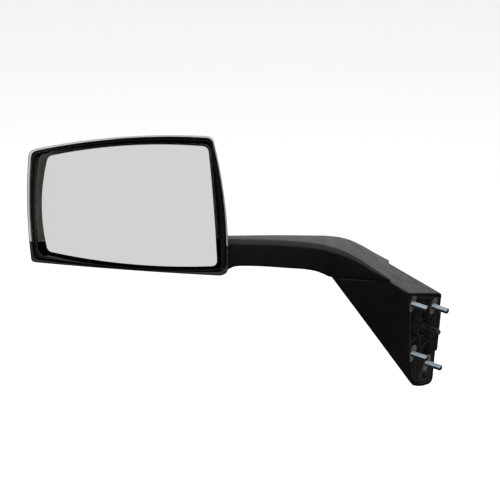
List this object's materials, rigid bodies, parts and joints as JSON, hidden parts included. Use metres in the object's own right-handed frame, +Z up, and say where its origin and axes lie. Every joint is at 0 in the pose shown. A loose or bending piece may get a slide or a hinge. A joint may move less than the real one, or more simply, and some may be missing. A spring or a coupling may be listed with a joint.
{
  "type": "hood mirror",
  "caption": "Driver-side truck hood mirror: wide convex glass in a chrome and black head, on a curved folding arm with a ribbed base and four studs.",
  "frame": {"origin": "middle of the base's mounting face, on the core's middle boss", "axes": "+X from the mirror head towards the hood, +Y forwards along the truck, +Z up"},
  "size_m": [0.5627, 0.1352, 0.3587],
  "materials": {
    "black_nylon": "satin moulded glass-filled nylon",
    "black_gloss": "gloss",
    "grey_pad": "matte",
    "chrome": "bright plated",
    "zinc_plate": "bright zinc plate",
    "spring_steel": "oiled steel",
    "black_coat": "black electrocoat",
    "acetal": "natural acetal",
    "bronze": "sintered bronze",
    "foam": "closed-cell foam",
    "mirror_glass": "first-surface chromed convex glass"
  },
  "bodies": {
    "base": {"base_cover": "black_nylon", "base_rib_core": "black_nylon", "core_screw_1": "zinc_plate", "core_screw_2": "zinc_plate", "core_screw_3": "zinc_plate", "hood_stud_1": "zinc_plate", "hood_stud_2": "zinc_plate", "hood_stud_3": "zinc_plate", "hood_stud_4": "zinc_plate", "locating_peg": "black_nylon", "pivot_bushing": "bronze", "stud_pad_1": "grey_pad", "stud_pad_2": "grey_pad", "stud_pad_3": "grey_pad", "stud_pad_4": "grey_pad", "wear_disc": "acetal"},
    "arm": {"arm_housing": "black_nylon", "ball_stud": "spring_steel", "ball_stud_nut": "zinc_plate", "ball_stud_washer": "zinc_plate", "bezel_clip_1": "spring_steel", "bezel_clip_2": "spring_steel", "bezel_clip_3": "spring_steel", "bezel_clip_4": "spring_steel", "bracket_screw_1": "zinc_plate", "bracket_screw_2": "zinc_plate", "bracket_screw_3": "zinc_plate", "bracket_screw_4": "zinc_plate", "chrome_cover": "chrome", "cover_screw_1": "zinc_plate", "cover_screw_2": "zinc_plate", "front_bezel": "black_gloss", "head_bracket": "black_coat", "housing_screw_1": "zinc_plate", "housing_screw_2": "zinc_plate", "lower_housing": "black_nylon", "pivot_bolt": "zinc_plate", "pivot_insert": "bronze", "pivot_spring": "spring_steel", "pivot_washer": "zinc_plate"},
    "pan": {"pan_ring": "acetal"},
    "glass": {"friction_spring": "spring_steel", "glass_carrier": "black_nylon", "glass_pad": "foam", "mirror_glass": "mirror_glass", "retainer_screw_1": "zinc_plate", "retainer_screw_2": "zinc_plate", "retainer_screw_3": "zinc_plate", "socket_retainer": "acetal", "spring_cap": "acetal"}
  },
  "joints": [
    {"name": "arm_fold", "type": "hinge", "parent": "base", "child": "arm", "pos_m": [-0.08, 0, 0.096], "axis": [0, 0, 1], "range_deg": [-75, 60]},
    {"name": "glass_pan", "type": "hinge", "parent": "arm", "child": "pan", "pos_m": [-0.3894, 0.02043, 0.18051], "axis": [0, 0.309, 0.9511], "range_deg": [-3.5, 5]},
    {"name": "glass_tilt", "type": "hinge", "parent": "pan", "child": "glass", "pos_m": [-0.3894, 0.02043, 0.18051], "axis": [0.999, -0.0415, 0.0135], "range_deg": [-4, 4]}
  ]
}
